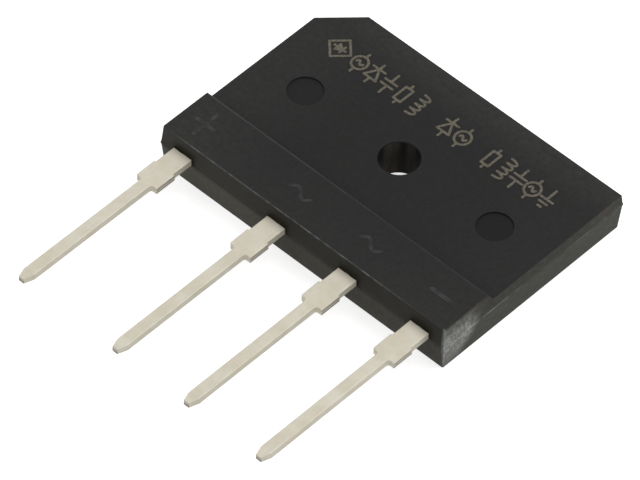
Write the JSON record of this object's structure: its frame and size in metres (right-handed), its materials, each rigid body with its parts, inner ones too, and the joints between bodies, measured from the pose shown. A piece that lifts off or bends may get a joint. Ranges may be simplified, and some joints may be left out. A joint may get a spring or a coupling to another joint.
{
  "type": "bridge rectifier",
  "caption": "Flat moulded full-wave bridge rectifier with a screw hole, a raised band over the leads, a cut corner and four in-line leads.",
  "frame": {"origin": "centre of the screw hole on the back face", "axes": "+Z out of the marked face, leads towards -Y, the cut corner and the plus lead towards -X"},
  "size_m": [0.03, 0.0379, 0.0045],
  "materials": {
    "epoxy_moulding": "fine eroded matt moulding, dusty at one end",
    "tinned_lead": "matt tin over copper, warm ivory, copper showing at cut faces",
    "solder": "dull soft solder",
    "silicon": "smooth dark silicon",
    "copper_clip": "plain stamped copper"
  },
  "bodies": {
    "root": {"moulding": "epoxy_moulding", "plus_lead_frame": "tinned_lead", "first_ac_lead_frame": "tinned_lead", "second_ac_lead_frame": "tinned_lead", "minus_lead_frame": "tinned_lead", "plus_first_die": "silicon", "plus_first_die_solder": "solder", "plus_first_clip_solder": "solder", "plus_second_die": "silicon", "plus_second_die_solder": "solder", "plus_second_clip_solder": "solder", "minus_first_die": "silicon", "minus_first_die_solder": "solder", "minus_first_clip_solder": "solder", "minus_second_die": "silicon", "minus_second_die_solder": "solder", "minus_second_clip_solder": "solder", "first_ac_clip": "copper_clip", "first_ac_foot_solder": "solder", "second_ac_clip": "copper_clip", "second_ac_foot_solder": "solder", "minus_clip": "copper_clip", "minus_foot_solder": "solder"}
  },
  "joints": []
}
